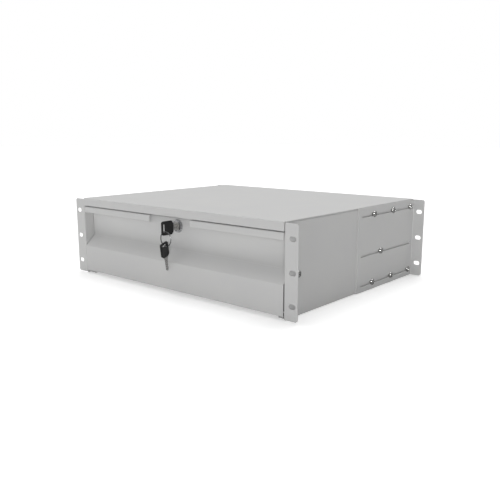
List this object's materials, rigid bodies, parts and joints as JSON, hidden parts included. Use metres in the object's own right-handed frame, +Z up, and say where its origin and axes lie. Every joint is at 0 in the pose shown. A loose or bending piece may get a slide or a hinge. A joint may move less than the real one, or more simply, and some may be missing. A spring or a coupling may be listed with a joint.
{
  "type": "sliding rack drawer",
  "caption": "Lockable sliding drawer for a 19 inch rack: folded steel case with ears, adjustable rear brackets, telescopic slides and a full-width finger pocket.",
  "frame": {"origin": "centre of the four outer front rack slots, on the front face of the ears", "axes": "+X to the viewer's right across the front, +Y from the front to the rear of the case, +Z up"},
  "size_m": [0.4826, 0.3822, 0.132],
  "materials": {
    "powder_coated_steel": "light grey powder coat, satin",
    "zinc_plated_steel": "bright zinc plate",
    "nickel_plated_screws": "polished nickel plate",
    "chrome_plated_zinc": "polished chrome plate",
    "nickel_plated_brass": "satin nickel plate",
    "wafer_brass": "stamped",
    "cage_steel": "stamped strip",
    "bearing_steel": "polished",
    "black_rubber": "moulded",
    "key_steel": "nickel plate",
    "black_plastic": "moulded, fine spark texture",
    "ring_steel": "hardened wire, nickel plate"
  },
  "bodies": {
    "case": {"top_cover": "powder_coated_steel", "rear_panel": "powder_coated_steel", "lock_strike": "zinc_plated_steel", "left_side_panel": "powder_coated_steel", "left_bracket_screws": "nickel_plated_screws", "left_bracket_nuts": "zinc_plated_steel", "left_outer_rail": "zinc_plated_steel", "left_rail_bumper": "black_rubber", "left_slide_screws": "nickel_plated_screws", "left_slide_nuts": "zinc_plated_steel", "right_side_panel": "powder_coated_steel", "right_bracket_screws": "nickel_plated_screws", "right_bracket_nuts": "zinc_plated_steel", "right_outer_rail": "zinc_plated_steel", "right_rail_bumper": "black_rubber", "right_slide_screws": "nickel_plated_screws", "right_slide_nuts": "zinc_plated_steel"},
    "drawer": {"drawer_front": "powder_coated_steel", "drawer_tray": "powder_coated_steel", "drawer_back": "powder_coated_steel", "lock_housing": "chrome_plated_zinc", "lock_nut": "zinc_plated_steel", "left_inner_rail": "zinc_plated_steel", "left_tray_screws": "zinc_plated_steel", "left_tray_nuts": "zinc_plated_steel", "right_inner_rail": "zinc_plated_steel", "right_tray_screws": "zinc_plated_steel", "right_tray_nuts": "zinc_plated_steel"},
    "left_middle_slide": {"left_middle_rail": "zinc_plated_steel"},
    "left_outer_bearing": {"left_outer_cage": "cage_steel", "left_outer_balls": "bearing_steel"},
    "left_inner_bearing": {"left_inner_cage": "cage_steel", "left_inner_balls": "bearing_steel"},
    "left_bracket": {"left_rear_bracket": "powder_coated_steel"},
    "right_middle_slide": {"right_middle_rail": "zinc_plated_steel"},
    "right_outer_bearing": {"right_outer_cage": "cage_steel", "right_outer_balls": "bearing_steel"},
    "right_inner_bearing": {"right_inner_cage": "cage_steel", "right_inner_balls": "bearing_steel"},
    "right_bracket": {"right_rear_bracket": "powder_coated_steel"},
    "plug": {"lock_plug": "nickel_plated_brass", "lock_wafers": "wafer_brass", "lock_cam": "zinc_plated_steel", "cam_screw": "zinc_plated_steel"},
    "key": {"key_blade": "key_steel", "key_bow": "black_plastic"},
    "ring": {"key_ring": "ring_steel"},
    "spare_key": {"spare_key_blade": "key_steel", "spare_key_bow": "black_plastic"}
  },
  "joints": [
    {"name": "drawer_travel", "type": "slide", "parent": "case", "child": "drawer", "axis": [0, -1, 0], "range_m": [0, 0.3]},
    {"name": "left_outer_bearing_travel", "type": "slide", "parent": "case", "child": "left_outer_bearing", "axis": [0, -1, 0], "range_m": [0, 0.075]},
    {"name": "left_middle_slide_travel", "type": "slide", "parent": "case", "child": "left_middle_slide", "axis": [0, -1, 0], "range_m": [0, 0.15]},
    {"name": "left_inner_bearing_travel", "type": "slide", "parent": "case", "child": "left_inner_bearing", "axis": [0, -1, 0], "range_m": [0, 0.225]},
    {"name": "right_outer_bearing_travel", "type": "slide", "parent": "case", "child": "right_outer_bearing", "axis": [0, -1, 0], "range_m": [0, 0.075]},
    {"name": "right_middle_slide_travel", "type": "slide", "parent": "case", "child": "right_middle_slide", "axis": [0, -1, 0], "range_m": [0, 0.15]},
    {"name": "right_inner_bearing_travel", "type": "slide", "parent": "case", "child": "right_inner_bearing", "axis": [0, -1, 0], "range_m": [0, 0.225]},
    {"name": "lock_turn", "type": "hinge", "parent": "drawer", "child": "plug", "pos_m": [0, 0.0149, 0.0367], "axis": [0, 1, 0], "range_deg": [0, 90]},
    {"name": "key_pull", "type": "slide", "parent": "plug", "child": "key", "axis": [0, -1, 0], "range_m": [0, 0.025]},
    {"name": "ring_swing", "type": "hinge", "parent": "key", "child": "ring", "pos_m": [0, -0.0105, 0.03095], "axis": [-1, 0, 0], "range_deg": [0, 70]},
    {"name": "spare_key_swing", "type": "hinge", "parent": "ring", "child": "spare_key", "pos_m": [-0.00091, -0.0105, 0.01013], "axis": [-1, 0, 0], "range_deg": [0, 70]},
    {"name": "left_bracket_travel", "type": "slide", "parent": "case", "child": "left_bracket", "axis": [0, 1, 0], "range_m": [0, 0.035]},
    {"name": "right_bracket_travel", "type": "slide", "parent": "case", "child": "right_bracket", "axis": [0, 1, 0], "range_m": [0, 0.035]}
  ],
  "couplings": [
    {"joint": "left_outer_bearing_travel", "follows": "drawer_travel", "ratio": 0.25},
    {"joint": "left_middle_slide_travel", "follows": "drawer_travel", "ratio": 0.5},
    {"joint": "left_inner_bearing_travel", "follows": "drawer_travel", "ratio": 0.75},
    {"joint": "right_outer_bearing_travel", "follows": "drawer_travel", "ratio": 0.25},
    {"joint": "right_middle_slide_travel", "follows": "drawer_travel", "ratio": 0.5},
    {"joint": "right_inner_bearing_travel", "follows": "drawer_travel", "ratio": 0.75}
  ]
}
